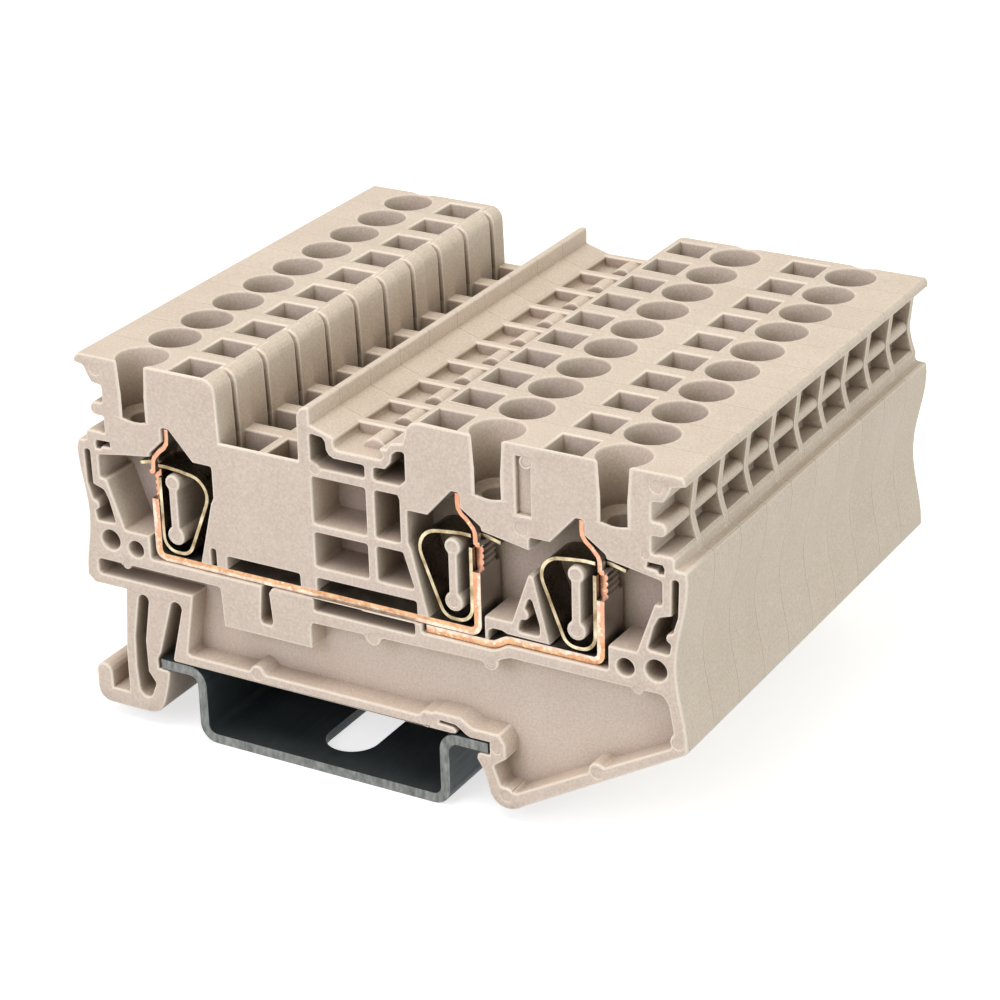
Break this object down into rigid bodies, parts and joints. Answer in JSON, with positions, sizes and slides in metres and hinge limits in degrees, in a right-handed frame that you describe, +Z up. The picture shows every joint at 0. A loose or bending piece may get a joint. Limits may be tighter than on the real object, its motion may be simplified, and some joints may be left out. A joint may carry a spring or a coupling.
{
  "type": "feed-through terminal block",
  "caption": "Row of beige spring-clamp feed-through terminal blocks with copper bars, clipped side by side on a slotted top-hat mounting rail.",
  "frame": {"origin": "centre of the rail's underside, at the middle of its length", "axes": "+X along a block from its single wire entry to its pair, +Y along the rail from the open face to the closed one, +Z up from the rail"},
  "size_m": [0.0622, 0.0734, 0.0369],
  "materials": {
    "housing": "fine matt moulded polyamide, pale warm beige",
    "copper": "bright stamped copper",
    "spring": "rolled spring strip with a warm golden tint",
    "rail": "dark grey passivated steel sheet, bare at the cut ends"
  },
  "bodies": {
    "rail": {"rail": "rail"},
    "block_01": {"housing_01": "housing", "feed_bar_01": "copper", "branch_bar_01": "copper", "clamp_springs_01": "spring"},
    "block_02": {"housing_02": "housing", "feed_bar_02": "copper", "branch_bar_02": "copper", "clamp_springs_02": "spring"},
    "block_03": {"housing_03": "housing", "feed_bar_03": "copper", "branch_bar_03": "copper", "clamp_springs_03": "spring"},
    "block_04": {"housing_04": "housing", "feed_bar_04": "copper", "branch_bar_04": "copper", "clamp_springs_04": "spring"},
    "block_05": {"housing_05": "housing", "feed_bar_05": "copper", "branch_bar_05": "copper", "clamp_springs_05": "spring"},
    "block_06": {"housing_06": "housing", "feed_bar_06": "copper", "branch_bar_06": "copper", "clamp_springs_06": "spring"},
    "block_07": {"housing_07": "housing", "feed_bar_07": "copper", "branch_bar_07": "copper", "clamp_springs_07": "spring"},
    "block_08": {"housing_08": "housing", "feed_bar_08": "copper", "branch_bar_08": "copper", "clamp_springs_08": "spring"},
    "block_09": {"housing_09": "housing", "feed_bar_09": "copper", "branch_bar_09": "copper", "clamp_springs_09": "spring"},
    "block_10": {"housing_10": "housing", "feed_bar_10": "copper", "branch_bar_10": "copper", "clamp_springs_10": "spring"}
  },
  "joints": [
    {"name": "block_01_slide", "type": "slide", "parent": "rail", "child": "block_01", "axis": [0, 1, 0], "range_m": [0, 0.0022]},
    {"name": "block_02_slide", "type": "slide", "parent": "block_01", "child": "block_02", "axis": [0, 1, 0], "range_m": [0, 0.0022]},
    {"name": "block_03_slide", "type": "slide", "parent": "block_02", "child": "block_03", "axis": [0, 1, 0], "range_m": [0, 0.0022]},
    {"name": "block_04_slide", "type": "slide", "parent": "block_03", "child": "block_04", "axis": [0, 1, 0], "range_m": [0, 0.0022]},
    {"name": "block_05_slide", "type": "slide", "parent": "block_04", "child": "block_05", "axis": [0, 1, 0], "range_m": [0, 0.0022]},
    {"name": "block_06_slide", "type": "slide", "parent": "block_05", "child": "block_06", "axis": [0, 1, 0], "range_m": [0, 0.0022]},
    {"name": "block_07_slide", "type": "slide", "parent": "block_06", "child": "block_07", "axis": [0, 1, 0], "range_m": [0, 0.0022]},
    {"name": "block_08_slide", "type": "slide", "parent": "block_07", "child": "block_08", "axis": [0, 1, 0], "range_m": [0, 0.0022]},
    {"name": "block_09_slide", "type": "slide", "parent": "block_08", "child": "block_09", "axis": [0, 1, 0], "range_m": [0, 0.0022]},
    {"name": "block_10_slide", "type": "slide", "parent": "block_09", "child": "block_10", "axis": [0, 1, 0], "range_m": [0, 0.0022]}
  ]
}
